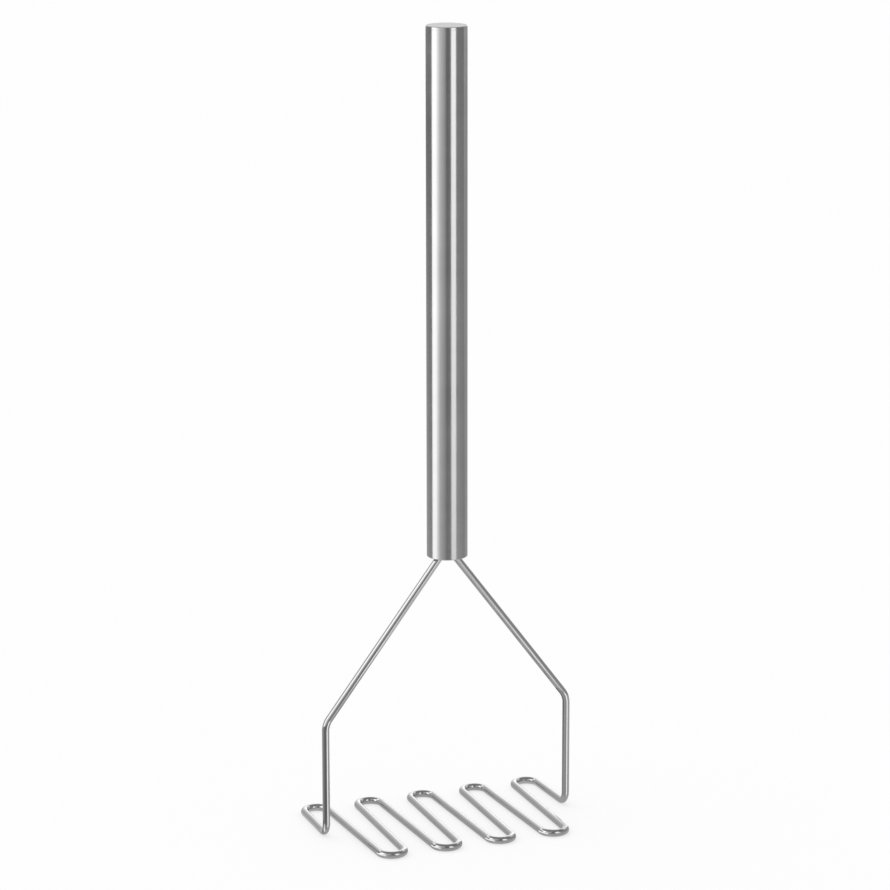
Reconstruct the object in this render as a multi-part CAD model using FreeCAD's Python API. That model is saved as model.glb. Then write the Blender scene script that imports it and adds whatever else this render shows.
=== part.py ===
"""Long-handled potato masher: a closed tube handle on a grid bent from one wire, in stainless steel.

The masher stands on its grid. The origin is on the floor under the handle's axis, +Z runs up the
handle, +X from leg to leg, and +Y towards the side of the grid that has one turn more.
"""
import FreeCAD, Part
import math
import os

from FreeCAD import Vector

# Driving dimensions, in millimetres and degrees

# Handle tube and the flat cap that closes its top
handle_diameter = 30.0
handle_wall = 1.2
handle_length = 390.0      # from the tube's mouth to the flat top of the cap
mouth_height = 206.5       # from the floor to the tube's mouth
mouth_round = 0.6          # rounded outer edge of the mouth
most_rounded = 0.75        # largest share of the wall that the round may take
cap_thickness = 2.0
cap_round = 0.5            # rounded outer edge of the cap
seam_bevel = 0.4           # bevel of tube and cap at their seam, filled by the ground weld

# Masher wire
wire_diameter = 5.5
leg_spacing = 192.0        # between the centre lines of the two upright legs
shoulder_height = 87.5     # where the line of a leg meets the line of its splay
head_depth = 126.0         # from the front edge of the grid to its back edge
back_turns = 5             # the front has one turn less
run_lean = 1.5             # each run leans this far towards the next at the turn they share
shoulder_bend = 15.0       # radii of the centre line
foot_bend = 9.0
neck_bend = 8.0
neck_rise = 2.4            # from the mouth up to where a splay meets its upright rod end
rod_gap = 1.5              # between the two rod ends inside the handle
rod_stand = 5.0            # rod end left standing above the rod plate

# Rod plate in the tube's mouth, and the welds
plate_thickness = 3.0
plate_clearance = 0.1      # between plate and tube, all round
bore_clearance = 0.1       # between rod and bore, all round
plate_lead = 1.5           # straight rod between the neck bend and the plate
rod_weld_leg = 2.0
plate_weld_leg = 1.5

# Sizes that follow from the driving dimensions
handle_radius = handle_diameter / 2
bore_radius = handle_radius - handle_wall
handle_top = mouth_height + handle_length
seam_height = handle_top - cap_thickness
wire_radius = wire_diameter / 2
runs = 2 * back_turns
run_pitch = leg_spacing / (runs - 1)
lean = math.radians(run_lean)
apex = head_depth / 2 - wire_radius
turn_bend = (run_pitch / 2 - apex * math.tan(lean)) / math.tan((math.pi / 2 - lean) / 2)
leg_x = leg_spacing / 2
rod_x = (wire_diameter + rod_gap) / 2
neck_height = mouth_height + neck_rise
splay = math.atan2(leg_x - rod_x, neck_height - shoulder_height)
plate_bottom = neck_height + neck_bend * math.tan(splay / 2) + plate_lead
plate_top = plate_bottom + plate_thickness
rod_top = plate_top + rod_stand

up = Vector(0, 0, 1)
shortest_line = 1e-6


def on_axis(radius, height):
    """Point of a turned profile, in the plane of X and Z."""
    return Vector(radius, 0, height)


def turned(edges):
    """Solid turned about the handle's axis from a closed profile of edges."""
    profile = Part.Face(Part.Wire(edges))
    return profile.revolve(Vector(0, 0, 0), up, 360)


def lines(*points):
    """Straight edges from each point to the next."""
    return [Part.LineSegment(start, end).toShape() for start, end in zip(points, points[1:])]


def edge_round(centre, radius, outer_angle):
    """Quarter-round edge of a turned profile, centred on outer_angle degrees above level."""
    def around(angle):
        turn = math.radians(angle)
        return centre + Vector(radius * math.cos(turn), 0, radius * math.sin(turn))
    return Part.Arc(around(outer_angle - 45), around(outer_angle), around(outer_angle + 45)).toShape()


def handle_tube():
    """Straight tube with a rounded mouth, bevelled at the top for the cap's weld."""
    radius = min(mouth_round, most_rounded * handle_wall)
    mouth = edge_round(on_axis(handle_radius - radius, mouth_height + radius), radius, -45)
    side_and_bore = lines(
        on_axis(handle_radius, mouth_height + radius),
        on_axis(handle_radius, seam_height - seam_bevel),
        on_axis(handle_radius - seam_bevel, seam_height),
        on_axis(bore_radius, seam_height),
        on_axis(bore_radius, mouth_height),
        on_axis(handle_radius - radius, mouth_height),
    )
    return turned([mouth] + side_and_bore)


def top_cap():
    """Flat disc on the end of the tube, with a rounded top edge."""
    rim = edge_round(on_axis(handle_radius - cap_round, handle_top - cap_round), cap_round, 45)
    under_and_side = lines(
        on_axis(0, handle_top),
        on_axis(0, seam_height),
        on_axis(handle_radius - seam_bevel, seam_height),
        on_axis(handle_radius, seam_height + seam_bevel),
        on_axis(handle_radius, handle_top - cap_round),
    )
    top = lines(on_axis(handle_radius - cap_round, handle_top), on_axis(0, handle_top))
    return turned(under_and_side + [rim] + top)


def cap_weld():
    """Ring of weld in the groove between tube and cap, ground flush."""
    root = on_axis(handle_radius - seam_bevel, seam_height)
    lower = on_axis(handle_radius, seam_height - seam_bevel)
    upper = on_axis(handle_radius, seam_height + seam_bevel)
    return turned(lines(root, lower, upper, root))


def rod_axes():
    """Feet of the two upright rod ends, at the height of the floor."""
    return [Vector(side * rod_x, 0, 0) for side in (-1, 1)]


def rod_plate():
    """Disc across the tube, with a bore for each rod end."""
    plate = Part.makeCylinder(bore_radius - plate_clearance, plate_thickness, up * plate_bottom)
    for axis in rod_axes():
        bore = Part.makeCylinder(wire_radius + bore_clearance, plate_thickness, axis + up * plate_bottom)
        plate = plate.cut(bore)
    return plate


def plate_weld():
    """Fillet of weld between the underside of the rod plate and the tube."""
    root = on_axis(bore_radius, plate_bottom)
    on_plate = on_axis(bore_radius - plate_weld_leg, plate_bottom)
    on_tube = on_axis(bore_radius, plate_bottom - plate_weld_leg)
    return turned(lines(root, on_plate, on_tube, root))


def rod_weld():
    """Fillet of weld round both rod ends, on top of the rod plate."""
    fillets = []
    rods = []
    for axis in rod_axes():
        base = axis + up * plate_top
        fillets.append(Part.makeCone(wire_radius + rod_weld_leg, wire_radius, rod_weld_leg, base))
        rods.append(Part.makeCylinder(wire_radius, rod_weld_leg, base))
    return fillets[0].fuse(fillets[1]).removeSplitter().cut(rods)


def run_x(run, y):
    """Where a run of the grid lies from left to right, at a distance y towards the back."""
    towards = 1 if run % 2 == 0 else -1
    return run * run_pitch - leg_x + towards * y * math.tan(lean)


def wire_corners():
    """Corners of the wire's route with the bend at each, from one rod end to the other."""
    left = [
        (Vector(-rod_x, 0, rod_top), 0),
        (Vector(-rod_x, 0, neck_height), neck_bend),
        (Vector(-leg_x, 0, shoulder_height), shoulder_bend),
        (Vector(-leg_x, 0, wire_radius), foot_bend),
    ]
    grid = []
    for gap in range(runs - 1):
        y = apex if gap % 2 == 0 else -apex
        for run in (gap, gap + 1):
            grid.append((Vector(run_x(run, y), y, wire_radius), turn_bend))
    right = [(Vector(-point.x, point.y, point.z), bend) for point, bend in reversed(left)]
    return left + grid + right


def rounded_route(corners):
    """Straight edges and tangent arcs along a list of corners with bends."""
    edges = []
    reached = corners[0][0]
    for (before, _), (corner, bend), (after, _) in zip(corners, corners[1:], corners[2:]):
        along = (corner - before).normalize()
        away = (after - corner).normalize()
        half_turn = along.getAngle(away) / 2
        inwards = (away - along).normalize()
        start = corner - along * bend * math.tan(half_turn)
        end = corner + away * bend * math.tan(half_turn)
        middle = corner + inwards * bend * (1 / math.cos(half_turn) - 1)
        if reached.distanceToPoint(start) > shortest_line:
            edges.append(Part.LineSegment(reached, start).toShape())
        edges.append(Part.Arc(start, middle, end).toShape())
        reached = end
    edges.append(Part.LineSegment(reached, corners[-1][0]).toShape())
    return Part.Wire(edges)


def masher_wire():
    """One round wire: rod end, splay, leg, grid, leg, splay, rod end."""
    corners = wire_corners()
    route = rounded_route(corners)
    start = corners[0][0]
    section = Part.Wire(Part.makeCircle(wire_radius, start, up))
    wire = route.makePipeShell([section], True, False)
    expected = math.pi * wire_radius ** 2 * route.Length
    print("wire length", round(route.Length, 1), "turn radius", round(turn_bend, 2),
          "volume over section times length", round(wire.Volume / expected, 5))
    return wire


def main():
    os.makedirs("parts", exist_ok=True)
    for piece in (handle_tube, top_cap, cap_weld, rod_plate, plate_weld, rod_weld, masher_wire):
        shape = piece()
        print(piece.__name__, len(shape.Solids), "solid", shape.isValid(), round(shape.Volume, 1))
        shape.exportStep("parts/" + piece.__name__ + ".step")


main()
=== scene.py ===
import math

import bpy
from mathutils import Matrix, Vector


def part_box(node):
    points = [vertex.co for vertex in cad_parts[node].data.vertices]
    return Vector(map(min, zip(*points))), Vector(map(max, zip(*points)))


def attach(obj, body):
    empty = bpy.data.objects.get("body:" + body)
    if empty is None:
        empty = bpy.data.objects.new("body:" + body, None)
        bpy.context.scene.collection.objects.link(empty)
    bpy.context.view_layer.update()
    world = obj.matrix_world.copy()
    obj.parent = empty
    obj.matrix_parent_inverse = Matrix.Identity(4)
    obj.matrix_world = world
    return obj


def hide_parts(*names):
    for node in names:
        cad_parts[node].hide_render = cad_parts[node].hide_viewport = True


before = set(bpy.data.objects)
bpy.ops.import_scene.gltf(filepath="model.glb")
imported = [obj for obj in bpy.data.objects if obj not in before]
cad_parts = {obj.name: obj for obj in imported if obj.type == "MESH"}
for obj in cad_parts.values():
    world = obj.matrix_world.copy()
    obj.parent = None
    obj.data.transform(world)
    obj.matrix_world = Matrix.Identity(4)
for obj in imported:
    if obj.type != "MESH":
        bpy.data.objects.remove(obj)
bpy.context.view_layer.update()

# Potato masher: a satin tube handle on a grid bent from one bright wire, in stainless steel.
# All lengths are in metres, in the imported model's own frame.

bl_info = {
    "name": "Potato masher",
    "version": (1, 0, 0),
    "blender": (4, 5, 0),
    "location": "3D View > Sidebar > Masher",
    "description": "Builds a long-handled potato masher round its packed model, in a plain studio",
    "category": "Add Mesh",
}

MILLIMETRE = 0.001
UP = Vector((0, 0, 1))

TUBE_LOW, TUBE_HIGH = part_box("handle_tube")
CAP_LOW, CAP_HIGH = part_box("top_cap")
BEAD_LOW, BEAD_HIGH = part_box("plate_weld")
WIRE_LOW, WIRE_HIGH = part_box("masher_wire")


# Settings that a user would change

def length(name, description, millimetres):
    """A length that a user can set, given in millimetres and kept in metres."""
    return bpy.props.FloatProperty(
        name=name, description=description, default=millimetres * MILLIMETRE,
        min=0, precision=5, unit="LENGTH")


def angle(name, description, degrees):
    """An angle that a user can set, given in degrees."""
    return bpy.props.FloatProperty(
        name=name, description=description, default=math.radians(degrees), subtype="ANGLE")


def share(name, description, value):
    """A share from 0 to 1 that a user can set."""
    return bpy.props.FloatProperty(
        name=name, description=description, default=value, min=0, max=1, subtype="FACTOR")


def tone(name, description, value):
    """How bright a card, lamp or the studio itself is, where 1 is white."""
    return bpy.props.FloatProperty(name=name, description=description, default=value, min=0)


def linear(hex_code):
    """Linear colour of an sRGB hex value."""
    channels = [int(hex_code[place:place + 2], 16) / 255 for place in (0, 2, 4)]
    return [c / 12.92 if c <= 0.04045 else ((c + 0.055) / 1.055) ** 2.4 for c in channels]


def colour(name, description, hex_code):
    """A colour that a user can set, given as an sRGB hex value."""
    return bpy.props.FloatVectorProperty(
        name=name, description=description, default=linear(hex_code), size=3, min=0, max=1, subtype="COLOR")


class MasherHandleSizes(bpy.types.PropertyGroup):
    mouth_round: length("Mouth round", "Radius of the mouth's outer edge", 0.6)
    cap_round: length("Cap round", "Radius of the cap's outer edge", 0.5)
    seam_bevel: length("Seam bevel", "Bevel of tube and cap that the ground weld fills", 0.4)
    weld_ripple: length("Weld ripple", "Distance from one ripple of the inner weld to the next", 1.6)
    sides: bpy.props.IntProperty(
        name="Sides", description="Facets round the handle", default=192, min=12)


class MasherWireSizes(bpy.types.PropertyGroup):
    diameter: length("Wire", "Diameter of the wire", 5.5)
    shoulder_height: length("Shoulder", "Height where the line of a leg meets its splay", 87.5)
    shoulder_bend: length("Shoulder bend", "Radius of the wire's centre line at the shoulders", 15)
    foot_bend: length("Foot bend", "Radius of the wire's centre line at the feet", 9)
    neck_bend: length("Neck bend", "Radius of the wire's centre line in the tube's mouth", 8)
    neck_rise: length("Neck rise", "From the mouth up to where a splay meets its rod end", 2.4)
    rod_gap: length("Rod gap", "Gap between the two rod ends inside the handle", 1.5)
    run_lean: angle("Lean", "How far each run leans towards the next at the turn they share", 1.5)
    back_turns: bpy.props.IntProperty(
        name="Back turns", description="Turns at the back of the grid, one more than at its front",
        default=5, min=2)
    sides: bpy.props.IntProperty(
        name="Sides", description="Facets round the wire", default=40, min=8)
    bend_step: angle("Bend step", "Turn from one ring of facets to the next in a bend", 3)


class MasherSteel(bpy.types.PropertyGroup):
    tube: colour("Tube", "Satin polished tube and the rim of its cap", "C6C6C6")
    face: colour("Cap face", "Ground face of the cap", "BEBEBE")
    seam: colour("Seam", "Weld under the cap, polished with the tube", "C0C0C0")
    plate: colour("Plate", "Cold rolled sheet", "B4B4B4")
    bead: colour("Bead", "Weld metal as it was laid", "ABABAA")
    straw: colour("Straw", "Heat tint on the weld metal", "B9AF9C")
    wire: colour("Wire", "Bright drawn wire", "C8C8C8")


class MasherStudio(bpy.types.PropertyGroup):
    camera_bearing: angle("Camera bearing", "Turn of the camera round the masher", -21.5635)
    camera_distance: length("Camera distance", "From the handle's axis to the camera, level", 2569.6)
    camera_height: length("Camera height", "Height of the camera above the floor", 909.1)
    camera_roll: angle("Camera roll", "Turn of the camera about its line of sight", -0.0691)
    aim_height: length("Aim height", "Height of the point that the camera looks at", 289.9)
    aim_side: bpy.props.FloatProperty(
        name="Aim side", description="How far right of the axis the camera looks",
        default=-1.47 * MILLIMETRE, precision=5, unit="LENGTH")
    focal_length: bpy.props.FloatProperty(
        name="Focal length", description="Of the lens on a 36 mm sensor, in millimetres",
        default=146.57, min=1)
    floor: colour("Floor", "Plain pale floor", "FCFCFC")
    floor_glow: share("Floor glow", "How far the floor shows as plain white", 0.65)
    world_light: tone("World light", "Even light from all round", 0.85)
    lamp_light: tone("Lamp light", "Soft light from above", 0.5)


# Meshes

SHARP_ANGLE = math.radians(35)
LONG_LINE = 3


def supported(profile, lead):
    """A closed profile with a point close to both ends of each long line, which keeps flat faces flat.

    A line is long if it measures more than LONG_LINE leads.
    """
    points = []
    for start, end in zip(profile, profile[1:] + profile[:1]):
        points.append(start)
        reach = math.dist(start, end)
        if reach > LONG_LINE * lead:
            for part in (lead / reach, 1 - lead / reach):
                points.append(tuple(a + (b - a) * part for a, b in zip(start, end)))
    return points


def quarter_round(radius, height, bend, first_angle, steps=8):
    """Points of a quarter circle in a turned profile, from first_angle on, in degrees."""
    points = []
    for step in range(steps + 1):
        turn = math.radians(first_angle + 90 * step / steps)
        points.append((radius + bend * math.cos(turn), height + bend * math.sin(turn)))
    return points


def finished(name, points, faces, uvs):
    """A smooth mesh object with sharp corners where its faces turn hard, and a map of lengths in metres."""
    mesh = bpy.data.meshes.new(name)
    mesh.from_pydata(points, [], faces)
    layer = mesh.uv_layers.new(name="lengths")
    for loop_uv, uv in zip(layer.data, [uv for face in uvs for uv in face]):
        loop_uv.uv = uv
    mesh.polygons.foreach_set("use_smooth", [True] * len(mesh.polygons))
    mesh.set_sharp_from_angle(angle=SHARP_ANGLE)
    mesh.update()
    piece = bpy.data.objects.new(name, mesh)
    bpy.context.scene.collection.objects.link(piece)
    return piece


def turned(name, profile, sides, vary=None):
    """A closed profile of radii and heights turned about the handle's axis. A radius of 0 is a point.

    vary, if given, moves a spot of the profile by the angle that it has been turned.
    """
    points = []
    rings = []
    along = [0.0]
    for spot, following in zip(profile, profile[1:] + profile[:1]):
        along.append(along[-1] + math.dist(spot, following))
        ring = []
        for side in range(sides if spot[0] > 0 else 1):
            turn = 2 * math.pi * side / sides
            radius, height = vary(spot, turn) if vary else spot
            ring.append(len(points))
            points.append((radius * math.cos(turn), radius * math.sin(turn), height))
        rings.append(ring)
    round_step = 2 * math.pi * max(radius for radius, _ in profile) / sides
    faces = []
    uvs = []
    for number, (ring, following) in enumerate(zip(rings, rings[1:] + rings[:1])):
        if len(ring) == len(following) == 1:
            continue
        for side in range(sides):
            after = side + 1
            corners = [(ring, side, number), (ring, after, number),
                       (following, after, number + 1), (following, side, number + 1)]
            if len(ring) == 1:
                corners.pop(0)
            if len(following) == 1:
                corners.pop()
            faces.append([loop[place % len(loop)] for loop, place, _ in corners])
            uvs.append([(place * round_step, along[step]) for _, place, step in corners])
    return finished(name, points, faces, uvs)


def swept(name, route, radius, sides):
    """A round wire along a route of points and directions, with closed ends."""
    points = []
    faces = []
    uvs = []
    around = 2 * math.pi * radius / sides
    travelled = 0.0
    before_travelled = 0.0
    across = Vector((0, 1, 0))
    before = None
    for number, (centre, direction) in enumerate(route):
        if before is not None:
            across.rotate(before[1].rotation_difference(direction))
            before_travelled = travelled
            travelled += (centre - before[0]).length
        across = (across - direction * across.dot(direction)).normalized()
        beside = direction.cross(across)
        for side in range(sides):
            turn = 2 * math.pi * side / sides
            points.append(centre + radius * (across * math.cos(turn) + beside * math.sin(turn)))
        if before is not None:
            low, high = (number - 1) * sides, number * sides
            for side in range(sides):
                after = (side + 1) % sides
                faces.append([low + side, low + after, high + after, high + side])
                uvs.append([(side * around, before_travelled), ((side + 1) * around, before_travelled),
                            ((side + 1) * around, travelled), (side * around, travelled)])
        before = (centre, direction.copy())
    last = len(points) - sides
    faces.append(list(reversed(range(sides))))
    faces.append(list(range(last, last + sides)))
    uvs.extend([[(0, 0)] * sides, [(0, travelled)] * sides])
    return finished(name, points, faces, uvs)


def dress(piece, materials, slot, *nodes):
    """Gives a piece its finishes, lets it ride on the masher and puts it in the place of its solids."""
    for material in materials:
        piece.data.materials.append(material)
    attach(piece, "root")
    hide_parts(*nodes)


def recoat(node, material):
    """Gives a solid that stays as it is a better finish."""
    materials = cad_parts[node].data.materials
    materials.clear()
    materials.append(material)


# Materials

def add_node(tree, kind, settings=None, values=None, links=None):
    """Adds a node with its own settings, the values of its sockets and the links into them."""
    node = tree.nodes.new(kind)
    for name, value in (settings or {}).items():
        setattr(node, name, value)
    for name, value in (values or {}).items():
        node.inputs[name].default_value = value
    for name, source in (links or {}).items():
        tree.links.new(source, node.inputs[name])
    return node


def blank(name):
    """A new material with an empty node tree."""
    material = bpy.data.materials.new(name)
    material.use_nodes = True
    material.node_tree.nodes.clear()
    return material


def opaque(colour_value):
    """A colour as a socket takes it, with nothing clear about it."""
    return (*colour_value, 1.0)


SCRATCH_DEPTH = 0.02 * MILLIMETRE
NOISE_LOW, NOISE_HIGH = 0.31, 0.69     # most of a noise pattern lies between these
QUARTER_TURN = 0.25                    # as a share of a full turn, which is how the shader counts it


def worked_steel(name, shades, roughness, grain, coordinates="UV", patch=25 * MILLIMETRE, line_share=0.375,
                 unevenness=0.04, relief=0.02, brushed=0.0, glancing=1.0):
    """Stainless steel with lines of a given width and length, between two shades and uneven in its polish.

    line_share is how much of the unevenness follows the lines rather than broad patches, and glancing how
    much of the usual sheen is kept where the steel is seen at a flat angle.
    """
    material = blank(name)
    tree = material.node_tree
    place = add_node(tree, "ShaderNodeTexCoord")
    scale = tuple(1 / size for size in grain)
    fine = add_node(tree, "ShaderNodeMapping", None, {"Scale": scale}, {"Vector": place.outputs[coordinates]})
    lines = add_node(tree, "ShaderNodeTexNoise", None, {"Scale": 1.0, "Detail": 3.0, "Roughness": 0.6},
                     {"Vector": fine.outputs["Vector"]})
    patches = add_node(tree, "ShaderNodeTexNoise", None, {"Scale": 1 / patch, "Detail": 2.0},
                       {"Vector": place.outputs["Object"]})
    both = add_node(tree, "ShaderNodeMix", {"data_type": "FLOAT"}, {"Factor": line_share},
                    {"A": patches.outputs["Fac"], "B": lines.outputs["Fac"]})
    wear = add_node(tree, "ShaderNodeMapRange", None, {"From Min": NOISE_LOW, "From Max": NOISE_HIGH},
                    {"Value": both.outputs["Result"]})
    polish = add_node(tree, "ShaderNodeMapRange", None,
                      {"To Min": roughness - unevenness, "To Max": roughness + unevenness},
                      {"Value": wear.outputs["Result"]})
    dark, light = shades
    shade = add_node(tree, "ShaderNodeMix", {"data_type": "RGBA"}, {"A": opaque(dark), "B": opaque(light)},
                     {"Factor": wear.outputs["Result"]})
    bump = add_node(tree, "ShaderNodeBump", None, {"Strength": relief, "Distance": SCRATCH_DEPTH},
                    {"Height": lines.outputs["Fac"]})
    surface = add_node(tree, "ShaderNodeBsdfPrincipled", None,
                       {"Metallic": 1.0, "Specular Tint": (glancing, glancing, glancing, 1),
                        "Anisotropic": brushed, "Anisotropic Rotation": QUARTER_TURN},
                       {"Base Color": shade.outputs["Result"], "Roughness": polish.outputs["Result"],
                        "Normal": bump.outputs["Normal"]})
    add_node(tree, "ShaderNodeOutputMaterial", links={"Surface": surface.outputs["BSDF"]})
    return material


def two_shades(base, darker=0.94, lighter=1.05):
    """A darker and a lighter shade of one steel."""
    return [c * darker for c in base], [min(1, c * lighter) for c in base]


def satin_tube_steel(base):
    # Drawn stainless tube, satin polished with a fine belt while it turned: scratches run round it, so that
    # what it mirrors is drawn out along the handle into soft upright bands. The scratches are some 0.05 mm
    # wide, which can't show, and are drawn 0.3 mm wide.
    grain = (30 * MILLIMETRE, 0.3 * MILLIMETRE, 1)
    return worked_steel("satin_polished_stainless_tube", two_shades(base), roughness=0.2, grain=grain,
                        brushed=0.5)


def ground_face_steel(base):
    # Stainless sheet, its face ground flat on a belt: straight scratches all one way, a little lighter and
    # darker in patches, so that the face is pale and soft. The scratches, some 0.08 mm wide, are drawn
    # 0.6 mm wide.
    grain = (14 * MILLIMETRE, 0.6 * MILLIMETRE, 1)
    shades = two_shades(base, darker=0.8, lighter=1.2)
    return worked_steel("ground_stainless_cap_face", shades, roughness=0.26, grain=grain,
                        coordinates="Object", patch=6 * MILLIMETRE, line_share=0.7, unevenness=0.08,
                        relief=0.05, glancing=0.7)


def polished_seam_steel(base):
    # Stainless weld, ground flush and polished together with the tube: the same bands go through it, and
    # only a slightly duller hairline is left. Its scratches are drawn as wide as the tube's.
    grain = (30 * MILLIMETRE, 0.3 * MILLIMETRE, 1)
    return worked_steel("polished_stainless_seam", two_shades(base), roughness=0.25, grain=grain,
                        brushed=0.4)


def rolled_plate_steel(base):
    # Cold rolled and pickled stainless sheet, left as it came: an even, soft grey sheen with faint lines one
    # way. The lines of the rolls, some 0.1 mm apart, are drawn 0.5 mm apart.
    grain = (6 * MILLIMETRE, 0.5 * MILLIMETRE, 1)
    return worked_steel("cold_rolled_stainless_sheet", two_shades(base), roughness=0.38, grain=grain,
                        coordinates="Object")


def weld_bead_steel(bead, straw):
    # Stainless weld metal, left as it was laid: dull, a little rough, grey with straw-coloured heat tint.
    # Its skin has spots of about half a millimetre.
    spot = 0.5 * MILLIMETRE
    return worked_steel("laid_stainless_weld_bead", (bead, straw), roughness=0.42, grain=(spot, spot, spot),
                        coordinates="Object", relief=0.1)


def bright_wire_steel(base):
    # Stainless wire, bright drawn through a die and electropolished after bending: nearly a mirror, with
    # fine lines along it. The lines of the die, some 0.05 mm wide, are drawn 0.25 mm wide.
    grain = (0.25 * MILLIMETRE, 40 * MILLIMETRE, 1)
    return worked_steel("bright_drawn_stainless_wire", two_shades(base), roughness=0.13, grain=grain,
                        unevenness=0.03)


# Handle

FLAT_LEAD = 0.15 * MILLIMETRE
LEVEL_NORMAL = 0.99        # a face counts as level if its normal rises by more than this


class MASHER_OT_handle_tube(bpy.types.Operator):
    """Turn the satin polished tube of the handle"""
    bl_idname = "masher.handle_tube"
    bl_label = "Handle tube"

    def execute(self, context):
        sizes = context.scene.masher_handle
        outer = TUBE_HIGH.x
        bore = BEAD_HIGH.x
        bend = sizes.mouth_round
        profile = quarter_round(outer - bend, TUBE_LOW.z + bend, bend, -90)
        profile += [
            (outer, TUBE_HIGH.z - sizes.seam_bevel),
            (outer - sizes.seam_bevel, TUBE_HIGH.z),
            (bore, TUBE_HIGH.z),
            (bore, TUBE_LOW.z),
        ]
        piece = turned("handle_tube_satin", supported(profile, FLAT_LEAD), sizes.sides)
        dress(piece, [satin_tube_steel(context.scene.masher_steel.tube)], "handle_steel", "handle_tube")
        return {"FINISHED"}


class MASHER_OT_top_cap(bpy.types.Operator):
    """Turn the cap that closes the handle, with a ground face and a satin rim"""
    bl_idname = "masher.top_cap"
    bl_label = "Top cap"

    def execute(self, context):
        sizes = context.scene.masher_handle
        steel = context.scene.masher_steel
        outer = CAP_HIGH.x
        bend = sizes.cap_round
        profile = [
            (0.0, CAP_LOW.z),
            (outer - sizes.seam_bevel, CAP_LOW.z),
            (outer, CAP_LOW.z + sizes.seam_bevel),
        ]
        profile += quarter_round(outer - bend, CAP_HIGH.z - bend, bend, 0)
        profile += [(0.0, CAP_HIGH.z)]
        piece = turned("top_cap_ground", supported(profile, FLAT_LEAD), sizes.sides)
        finishes = [satin_tube_steel(steel.tube), ground_face_steel(steel.face)]
        dress(piece, finishes, "cap_steel", "top_cap")
        for face in piece.data.polygons:
            face.material_index = 1 if face.normal.z > LEVEL_NORMAL else 0
        return {"FINISHED"}


def weld_bead(name, ripple, sides):
    """A ring of weld in the corner under the rod plate, swollen and rippled as it was laid."""
    leg = BEAD_HIGH.z - BEAD_LOW.z
    ripples = round(2 * math.pi * BEAD_HIGH.x / ripple)
    fullness = 0.5             # 0 is a flat slope and 1 a round one
    ripple_height = 0.06       # as a share of the bead's own size
    lag = 1.2                  # how far the middle of a ripple trails its ends, in radians of its wave
    steps = 6
    profile = [(BEAD_HIGH.x, BEAD_HIGH.z)]
    for step in range(steps + 1):
        slope = math.pi / 2 * step / steps
        reach = leg * (fullness + (1 - fullness) / (math.cos(slope) + math.sin(slope)))
        profile.append((BEAD_HIGH.x - reach * math.cos(slope), BEAD_HIGH.z - reach * math.sin(slope)))

    def rippled(spot, turn):
        across = BEAD_HIGH.x - spot[0]
        down = BEAD_HIGH.z - spot[1]
        trail = lag * math.sin(2 * math.atan2(down, across))
        size = 1 + ripple_height * math.sin(ripples * turn - trail)
        return BEAD_HIGH.x - across * size, BEAD_HIGH.z - down * size

    return turned(name, profile, sides, rippled)


class MASHER_OT_welds(bpy.types.Operator):
    """Lay the polished weld under the cap and the rough welds at the rod plate"""
    bl_idname = "masher.welds"
    bl_label = "Welds"

    def execute(self, context):
        sizes = context.scene.masher_handle
        steel = context.scene.masher_steel
        outer = TUBE_HIGH.x
        seam = TUBE_HIGH.z
        bevel = sizes.seam_bevel
        groove = [(outer - bevel, seam), (outer, seam - bevel), (outer, seam + bevel)]
        ring = turned("cap_weld_ground", groove, sizes.sides)
        dress(ring, [polished_seam_steel(steel.seam)], "weld_steel", "cap_weld")
        rough = weld_bead_steel(steel.bead, steel.straw)
        fine_sides = 3 * sizes.sides
        bead = weld_bead("plate_weld_bead", sizes.weld_ripple, fine_sides)
        dress(bead, [rough], "weld_steel", "plate_weld")
        recoat("rod_weld", rough)
        return {"FINISHED"}


class MASHER_OT_rod_plate(bpy.types.Operator):
    """Give the plate in the tube's mouth its rolled finish"""
    bl_idname = "masher.rod_plate"
    bl_label = "Rod plate"

    def execute(self, context):
        recoat("rod_plate", rolled_plate_steel(context.scene.masher_steel.plate))
        return {"FINISHED"}


# Wire

BEND_LEAD = 0.5 * MILLIMETRE
SHORTEST_RUN = 0.001 * MILLIMETRE


def wire_corners(sizes):
    """Corners of the wire's route with the bend at each, from one rod end to the other."""
    radius = sizes.diameter / 2
    leg_x = WIRE_HIGH.x - radius
    apex = WIRE_HIGH.y - radius
    rod_x = (sizes.diameter + sizes.rod_gap) / 2
    neck_height = TUBE_LOW.z + sizes.neck_rise
    runs = 2 * sizes.back_turns
    pitch = 2 * leg_x / (runs - 1)
    lean = math.tan(sizes.run_lean)
    turn_bend = (pitch / 2 - apex * lean) / math.tan((math.pi / 2 - sizes.run_lean) / 2)
    left = [
        (Vector((-rod_x, 0, WIRE_HIGH.z)), 0),
        (Vector((-rod_x, 0, neck_height)), sizes.neck_bend),
        (Vector((-leg_x, 0, sizes.shoulder_height)), sizes.shoulder_bend),
        (Vector((-leg_x, 0, radius)), sizes.foot_bend),
    ]
    grid = []
    for gap in range(runs - 1):
        y = apex if gap % 2 == 0 else -apex
        for run in (gap, gap + 1):
            towards = 1 if run % 2 == 0 else -1
            grid.append((Vector((run * pitch - leg_x + towards * y * lean, y, radius)), turn_bend))
    right = [(Vector((-corner.x, corner.y, corner.z)), bend) for corner, bend in reversed(left)]
    return left + grid + right


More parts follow.
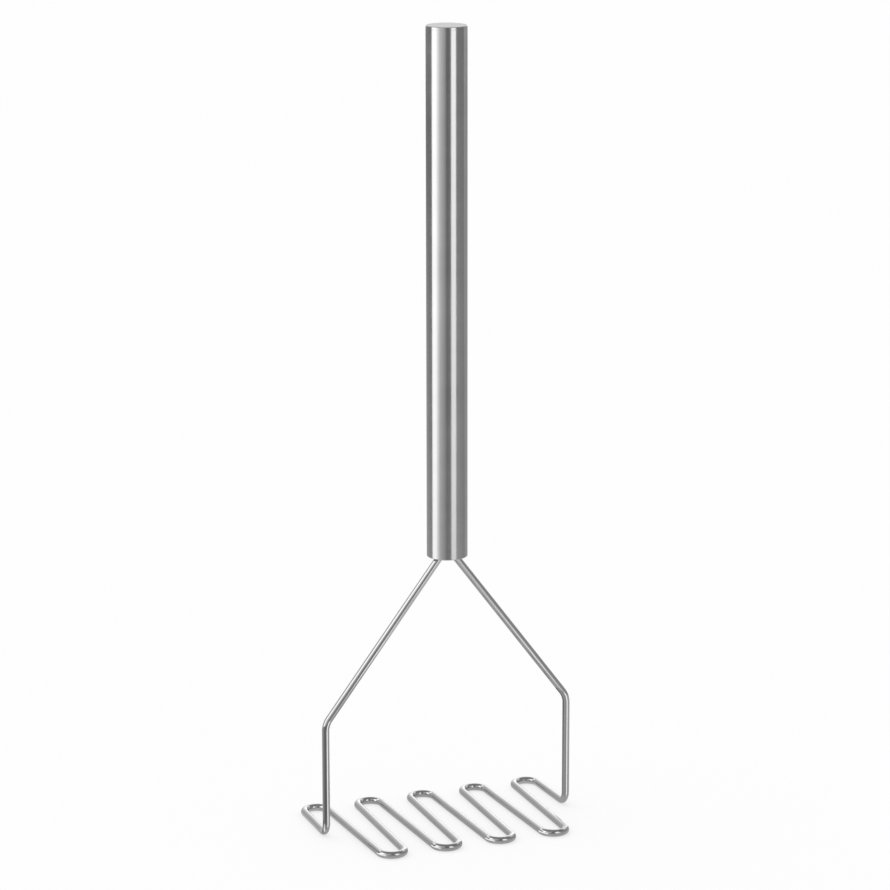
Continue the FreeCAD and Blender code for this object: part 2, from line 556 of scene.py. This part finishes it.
def wire_route(corners, step, lead):
    """Points and directions along straight runs and tangent bends, also close to both ends of a long run."""
    route = []

    def straight(start, end):
        direction = (end - start).normalized()
        reach = (end - start).length
        route.append((start, direction))
        if reach > LONG_LINE * lead:
            route.append((start + direction * lead, direction))
            route.append((end - direction * lead, direction))

    reached = corners[0][0]
    for (before, _), (corner, bend), (after, _) in zip(corners, corners[1:], corners[2:]):
        along = (corner - before).normalized()
        away = (after - corner).normalized()
        turn = along.angle(away)
        start = corner - along * bend * math.tan(turn / 2)
        if (start - reached).length > SHORTEST_RUN:
            straight(reached, start)
        axis = along.cross(away).normalized()
        centre = start + axis.cross(along) * bend
        steps = max(2, round(turn / step))
        for number in range(steps):
            turned_so_far = Matrix.Rotation(turn * number / steps, 3, axis)
            route.append((centre + turned_so_far @ (start - centre), turned_so_far @ along))
        reached = corner + away * bend * math.tan(turn / 2)
    straight(reached, corners[-1][0])
    route.append((corners[-1][0], (corners[-1][0] - reached).normalized()))
    return route


class MASHER_OT_wire(bpy.types.Operator):
    """Bend the wire: rod end, splay, leg, grid, leg, splay, rod end"""
    bl_idname = "masher.wire"
    bl_label = "Masher wire"

    def execute(self, context):
        sizes = context.scene.masher_wire
        route = wire_route(wire_corners(sizes), sizes.bend_step, BEND_LEAD)
        piece = swept("masher_wire_bright", route, sizes.diameter / 2, sizes.sides)
        dress(piece, [bright_wire_steel(context.scene.masher_steel.wire)], "wire_steel", "masher_wire")
        return {"FINISHED"}


# Studio

# The rim of a card is given as its distance from the card's middle line and its height.
WALL_FOOT = (0.48, 0.0)
BACKDROP_FOOT = (5.5, 0.0)
BACKDROP_HEAD = (5.5, 3.3)
SHEET_HOLE = 1 * MILLIMETRE
SHEET_HEIGHT = 0.2 * MILLIMETRE
MAT_HEIGHT = 0.3 * MILLIMETRE
STRIP_HEIGHT = 0.4 * MILLIMETRE
CEILING = 1.15
CARD_FACET = 4             # degrees of a bent card that one flat facet takes
SENSOR_WIDTH = 36          # of the camera, in millimetres
LAMP_SPREAD = math.radians(60)
LAMP_TILT = (math.radians(-20), math.radians(-15), 0)


def level_direction(degrees):
    """Level direction at a bearing from the camera's side of the masher, positive to the camera's right."""
    turn = bpy.context.scene.masher_studio.camera_bearing + math.radians(degrees)
    return Vector((math.sin(turn), -math.cos(turn), 0))


def show_one_side(tree, shader):
    """Ends a material that shows on the front of its faces and is clear from behind."""
    side = add_node(tree, "ShaderNodeNewGeometry")
    clear = add_node(tree, "ShaderNodeBsdfTransparent")
    both = add_node(tree, "ShaderNodeMixShader", None, None,
                    {0: side.outputs["Backfacing"], 1: shader, 2: clear.outputs["BSDF"]})
    add_node(tree, "ShaderNodeOutputMaterial", links={"Surface": both.outputs["Shader"]})


def card_finish(name, low, high):
    """Glowing card, no lamp, whose painted tone runs from first edge to last edge, and from its near rim to
    its far one.
    """
    material = blank(name)
    tree = material.node_tree
    place = add_node(tree, "ShaderNodeTexCoord")
    split = add_node(tree, "ShaderNodeSeparateXYZ", links={"Vector": place.outputs["UV"]})
    rims = []
    for first, last in (low, high):
        rims.append(add_node(tree, "ShaderNodeMapRange", None, {"To Min": first, "To Max": last},
                             {"Value": split.outputs["X"]}))
    strength = add_node(tree, "ShaderNodeMix", {"data_type": "FLOAT"}, None,
                        {"Factor": split.outputs["Y"], "A": rims[0].outputs["Result"],
                         "B": rims[1].outputs["Result"]})
    light = add_node(tree, "ShaderNodeEmission", links={"Strength": strength.outputs["Result"]})
    show_one_side(tree, light.outputs["Emission"])
    return material


def reflected_card(name, points, faces, uvs, low, high):
    """A glowing card of the studio, no lamp, that shows in polished metal and nowhere else: a painted
    reflection that lights nothing.
    """
    card = finished(name, points, faces, uvs)
    card.data.materials.append(card_finish(name, low, high))
    card.visible_camera = False
    card.visible_diffuse = False
    card.visible_transmission = False
    card.visible_volume_scatter = False
    card.visible_shadow = False


def ring_card(name, bearings, near, far, low, high, middle=(0.0, 0.0)):
    """A card bent round an upright line at the middle, from one bearing to another.

    Its near and far rims are each given as a distance and a height, and low and high are the painted tones
    along them, at the first bearing and at the last. A standing card glows on its inner side, and a lying one
    on top, or underneath if its near rim is the outer one.
    """
    first, last = bearings
    steps = max(1, round(abs(last - first) / CARD_FACET))
    points = []
    faces = []
    uvs = []
    for step in range(steps + 1):
        away = level_direction(first + (last - first) * step / steps)
        for distance, height in (near, far):
            points.append(Vector((*middle, height)) + away * distance)
        if step:
            faces.append([2 * step - 2, 2 * step - 1, 2 * step + 1, 2 * step])
            before, now = (step - 1) / steps, step / steps
            uvs.append([(before, 0), (before, 1), (now, 1), (now, 0)])
    reflected_card(name, points, faces, uvs, low, high)


def strip_card(name, left, right, back, front, low, high):
    """A straight card that lies in front of the grid, with tones along its back rim and its front one."""
    corners = ((left, back), (left, front), (right, front), (right, back))
    points = [Vector((x, y, STRIP_HEIGHT)) for x, y in corners]
    reflected_card(name, points, [[0, 1, 2, 3]], [[(0, 0), (0, 1), (1, 1), (1, 0)]], low, high)


def place_side_cards():
    """Stands glowing cards to the left, in front and to the right, seen only in the metal: the bands of the
    handle.
    """
    # Painted reflections of softboxes and flags: these bright and dark cards are no lamps and only show in
    # the metal.
    ring_card("left_softbox", (-88, -60), WALL_FOOT, (0.88, 1.0), low=(1.6, 1.6), high=(2.1, 2.1))
    ring_card("left_bounce", (-60, -42), WALL_FOOT, (0.83, 0.8), low=(1.3, 0.65), high=(2.0, 1.15))
    ring_card("left_fill", (-42, -4), WALL_FOOT, (0.75, 0.6), low=(0.6, 0.29), high=(0.95, 0.36))
    ring_card("camera_flag", (-4, 24), WALL_FOOT, (0.88, 1.0), low=(0.24, 0.3), high=(0.12, 0.13))
    ring_card("right_softbox", (24, 52), WALL_FOOT, (0.83, 0.8), low=(1.1, 1.1), high=(1.85, 1.85))
    ring_card("right_low_flag", (24, 62), (0.4, 0.0), (0.4, 0.07), low=(0.6, 0.6), high=(0.6, 0.6))
    ring_card("right_flag", (52, 112), WALL_FOOT, (0.84, 0.9), low=(0.48, 0.34), high=(0.12, 0.2))
    ring_card("right_slit", (112, 122), WALL_FOOT, (0.75, 0.6), low=(0.3, 0.3), high=(0.6, 0.6))


def place_backdrop():
    """Stands a far glowing backdrop that goes from grey to white behind the masher, seen only in the metal:
    painted reflections for the runs of the grid.
    """
    ring_card("right_backdrop", (122, 158), BACKDROP_FOOT, BACKDROP_HEAD, low=(0.5, 0.5), high=(0.5, 0.5))
    ring_card("white_backdrop", (158, 174), BACKDROP_FOOT, BACKDROP_HEAD, low=(1.7, 1.7), high=(1.7, 1.7))
    ring_card("fading_backdrop", (174, 200), BACKDROP_FOOT, BACKDROP_HEAD, low=(1.6, 0.72), high=(1.6, 0.79))
    ring_card("grey_backdrop", (200, 230), BACKDROP_FOOT, BACKDROP_HEAD, low=(0.72, 0.46), high=(0.79, 0.56))
    ring_card("left_backdrop", (230, 270), BACKDROP_FOOT, BACKDROP_HEAD, low=(0.46, 0.27), high=(0.56, 0.58))


def place_table_cards(foot):
    """Lays glowing sheets on the table and one dark flag overhead, seen only in the metal: painted
    reflections for the edges of the handle, the splays and the turns.
    """
    close, near, far = [(reach, SHEET_HEIGHT) for reach in (0.1, 0.6, 5.3)]
    # Painted shadow: the darker sheet round the grid stands for the floor in the masher's own shadow, as the
    # wires mirror it.
    ring_card("grid_painted_shadow", (0, 360), (SHEET_HOLE, SHEET_HEIGHT), close, low=(0.48, 0.48), high=(0.54, 0.54))
    ring_card("table_sheet", (0, 360), close, near, low=(0.62, 0.62), high=(0.82, 0.82))
    ring_card("left_back_sheet", (-172, -90), near, far, low=(0.56, 0.32), high=(0.06, 0.08))
    ring_card("right_back_sheet", (122, 172), near, far, low=(0.44, 0.44), high=(0.3, 0.3))
    gleam_near, gleam_far = [(reach, STRIP_HEIGHT) for reach in (0.17, 0.45)]
    ring_card("splay_gleam", (14, 33), gleam_near, gleam_far,
              low=(1.6, 1.6), high=(1.4, 1.4), middle=(foot, 0))
    beside, under, ahead = 0.03, 0.004, 0.02
    strip_card("turn_shade", WIRE_LOW.x - beside, WIRE_HIGH.x + beside, WIRE_LOW.y + under,
               WIRE_LOW.y - ahead, low=(0.62, 0.62), high=(0.2, 0.2))
    ring_card("ceiling_flag", (0, 360), (1.1, CEILING), (SHEET_HOLE, CEILING),
              low=(0.28, 0.28), high=(0.28, 0.28))


def place_turn_cards(foot, runs, radius):
    """Stands a low glowing card to the left of each front turn, clear towards the turn before it: a painted
    highlight in each turn.
    """
    pitch = 2 * foot / (runs - 1)
    depth = WIRE_LOW.y + pitch / 2 + radius
    reach, head = 0.018, 0.004
    for gap in range(1, runs - 1, 2):
        middle = ((gap + 0.5) * pitch - foot, depth)
        ring_card("turn_gleam_%d" % gap, (-82, -20), (reach, 0.0), (reach, head),
                  low=(1.6, 1.0), high=(1.7, 1.7), middle=middle)


def place_leg_cards(foot):
    """Stands glowing cards round each leg, dark with one bright strip, and lays two more at the left foot:
    painted shade and highlights in the legs' metal.
    """
    card_reach, flag_reach, gleam_reach, hole = 0.012, 0.04, 0.034, 0.003
    gap_below, head = 0.005, 0.088
    near, raised, far = [(card_reach, height) for height in (0.0, gap_below, head)]
    flag_foot, flag_head = [(flag_reach, height) for height in (0.0, head)]
    left, right = (-foot, 0), (foot, 0)
    ring_card("left_leg_shade", (-128, -15), flag_foot, flag_head,
              low=(0.5, 0.13), high=(0.6, 0.16), middle=left)
    ring_card("left_leg_core", (-15, 34), flag_foot, flag_head,
              low=(0.14, 0.3), high=(0.16, 0.34), middle=left)
    # Painted shade: a dark glowing sheet round the left foot that darkens the low part of the leg's
    # reflection.
    ring_card("left_leg_painted_shade", (-128, 34), (hole, MAT_HEIGHT), (flag_reach, MAT_HEIGHT),
              low=(0.38, 0.45), high=(0.14, 0.22), middle=left)
    ring_card("left_foot_gleam", (-82, -44), (hole, STRIP_HEIGHT), (gleam_reach, STRIP_HEIGHT),
              low=(1.5, 1.5), high=(0.55, 0.55), middle=left)
    ring_card("left_leg_gleam", (34, 58), near, far, low=(1.6, 1.6), high=(1.6, 1.6), middle=left)
    ring_card("left_leg_edge", (58, 115), near, far, low=(0.5, 0.5), high=(0.5, 0.5), middle=left)
    ring_card("right_leg_line", (-116, -70), raised, far, low=(0.34, 0.34), high=(0.08, 0.08), middle=right)
    ring_card("right_leg_shade", (-70, 20), near, far, low=(0.48, 0.38), high=(0.46, 0.38), middle=right)
    ring_card("right_leg_gleam", (20, 44), near, far, low=(1.6, 1.6), high=(1.6, 1.6), middle=right)
    ring_card("right_leg_edge", (44, 115), near, far, low=(0.5, 0.5), high=(0.55, 0.55), middle=right)


def place_camera(studio):
    """Sets the camera at the photograph's viewing angle."""
    spot = level_direction(0) * studio.camera_distance + UP * studio.camera_height
    aim = level_direction(90) * studio.aim_side + UP * studio.aim_height
    forward = (aim - spot).normalized()
    right = forward.cross(UP).normalized()
    above = right.cross(forward)
    roll = studio.camera_roll
    rolled_right = right * math.cos(roll) + above * math.sin(roll)
    rolled_above = above * math.cos(roll) - right * math.sin(roll)
    data = bpy.data.cameras.new("camera")
    data.sensor_width = SENSOR_WIDTH
    data.lens = studio.focal_length
    camera = bpy.data.objects.new("camera", data)
    bpy.context.scene.collection.objects.link(camera)
    turn = Matrix((rolled_right, rolled_above, -forward)).transposed().to_4x4()
    camera.matrix_world = Matrix.Translation(spot) @ turn
    bpy.context.scene.camera = camera


def seen_directly(tree):
    """A socket that is 1 where the camera, polished metal or glass looks, and 0 for the light itself."""
    path = add_node(tree, "ShaderNodeLightPath")
    mirrored = add_node(tree, "ShaderNodeMath", {"operation": "MAXIMUM"}, None,
                        {0: path.outputs["Is Camera Ray"], 1: path.outputs["Is Glossy Ray"]})
    shown = add_node(tree, "ShaderNodeMath", {"operation": "MAXIMUM"}, None,
                     {0: mirrored.outputs["Value"], 1: path.outputs["Is Transmission Ray"]})
    return shown.outputs["Value"]


def place_floor(studio):
    """Lays a pale floor that shows nearly white, keeps a soft shadow and is clear from below."""
    reach = 30.0
    corners = [Vector((x * reach, y * reach, 0)) for x, y in ((-1, -1), (1, -1), (1, 1), (-1, 1))]
    floor = finished("floor", corners, [[0, 1, 2, 3]], [[(0, 0), (1, 0), (1, 1), (0, 1)]])
    material = blank("pale_floor")
    tree = material.node_tree
    paint = add_node(tree, "ShaderNodeBsdfDiffuse", values={"Color": opaque(studio.floor)})
    white = add_node(tree, "ShaderNodeEmission", values={"Strength": 1.0})
    glow = add_node(tree, "ShaderNodeMath", {"operation": "MULTIPLY"}, {1: studio.floor_glow},
                    {0: seen_directly(tree)})
    lit = add_node(tree, "ShaderNodeMixShader", None, None,
                   {0: glow.outputs["Value"], 1: paint.outputs["BSDF"], 2: white.outputs["Emission"]})
    show_one_side(tree, lit.outputs["Shader"])
    floor.data.materials.append(material)


def light_studio(studio):
    """Even light from all round, white where it is seen, and one soft lamp from above."""
    world = bpy.data.worlds.new("studio")
    world.use_nodes = True
    tree = world.node_tree
    tree.nodes.clear()
    strength = add_node(tree, "ShaderNodeMapRange", values={"To Min": studio.world_light, "To Max": 1.0},
                        links={"Value": seen_directly(tree)})
    sky = add_node(tree, "ShaderNodeBackground", links={"Strength": strength.outputs["Result"]},
                   values={"Color": (1, 1, 1, 1)})
    add_node(tree, "ShaderNodeOutputWorld", links={"Surface": sky.outputs["Background"]})
    bpy.context.scene.world = world
    data = bpy.data.lights.new("soft_lamp", "SUN")
    data.energy = studio.lamp_light
    data.angle = LAMP_SPREAD
    lamp = bpy.data.objects.new("soft_lamp", data)
    lamp.rotation_euler = LAMP_TILT
    bpy.context.scene.collection.objects.link(lamp)


class MASHER_OT_stage(bpy.types.Operator):
    """Set the floor, the light, the cards and the camera"""
    bl_idname = "masher.stage"
    bl_label = "Stage"

    def execute(self, context):
        studio = context.scene.masher_studio
        wire = context.scene.masher_wire
        radius = wire.diameter / 2
        foot = WIRE_HIGH.x - radius
        context.scene.view_settings.view_transform = "Standard"
        place_floor(studio)
        light_studio(studio)
        place_side_cards()
        place_backdrop()
        place_table_cards(foot)
        place_turn_cards(foot, 2 * wire.back_turns, radius)
        place_leg_cards(foot)
        place_camera(studio)
        return {"FINISHED"}


class MASHER_PT_panel(bpy.types.Panel):
    """The steps that build the masher, and its settings"""
    bl_label = "Potato masher"
    bl_idname = "MASHER_PT_panel"
    bl_space_type = "VIEW_3D"
    bl_region_type = "UI"
    bl_category = "Masher"

    def draw(self, context):
        for operator in OPERATORS:
            self.layout.operator(operator.bl_idname)
        for name in SETTINGS:
            group = getattr(context.scene, name)
            box = self.layout.box()
            for setting in group.bl_rna.properties.keys():
                if setting not in ("rna_type", "name"):
                    box.prop(group, setting)


SETTINGS = {
    "masher_handle": MasherHandleSizes,
    "masher_wire": MasherWireSizes,
    "masher_steel": MasherSteel,
    "masher_studio": MasherStudio,
}
OPERATORS = (
    MASHER_OT_handle_tube,
    MASHER_OT_top_cap,
    MASHER_OT_welds,
    MASHER_OT_rod_plate,
    MASHER_OT_wire,
    MASHER_OT_stage,
)


def register():
    for group in (*SETTINGS.values(), *OPERATORS, MASHER_PT_panel):
        bpy.utils.register_class(group)
    for name, group in SETTINGS.items():
        setattr(bpy.types.Scene, name, bpy.props.PointerProperty(type=group))


def unregister():
    for name in SETTINGS:
        delattr(bpy.types.Scene, name)
    for group in reversed((*SETTINGS.values(), *OPERATORS, MASHER_PT_panel)):
        bpy.utils.unregister_class(group)


def main():
    register()
    bpy.ops.masher.handle_tube()
    bpy.ops.masher.top_cap()
    bpy.ops.masher.welds()
    bpy.ops.masher.rod_plate()
    bpy.ops.masher.wire()
    bpy.ops.masher.stage()


if __name__ == "__main__":
    main()
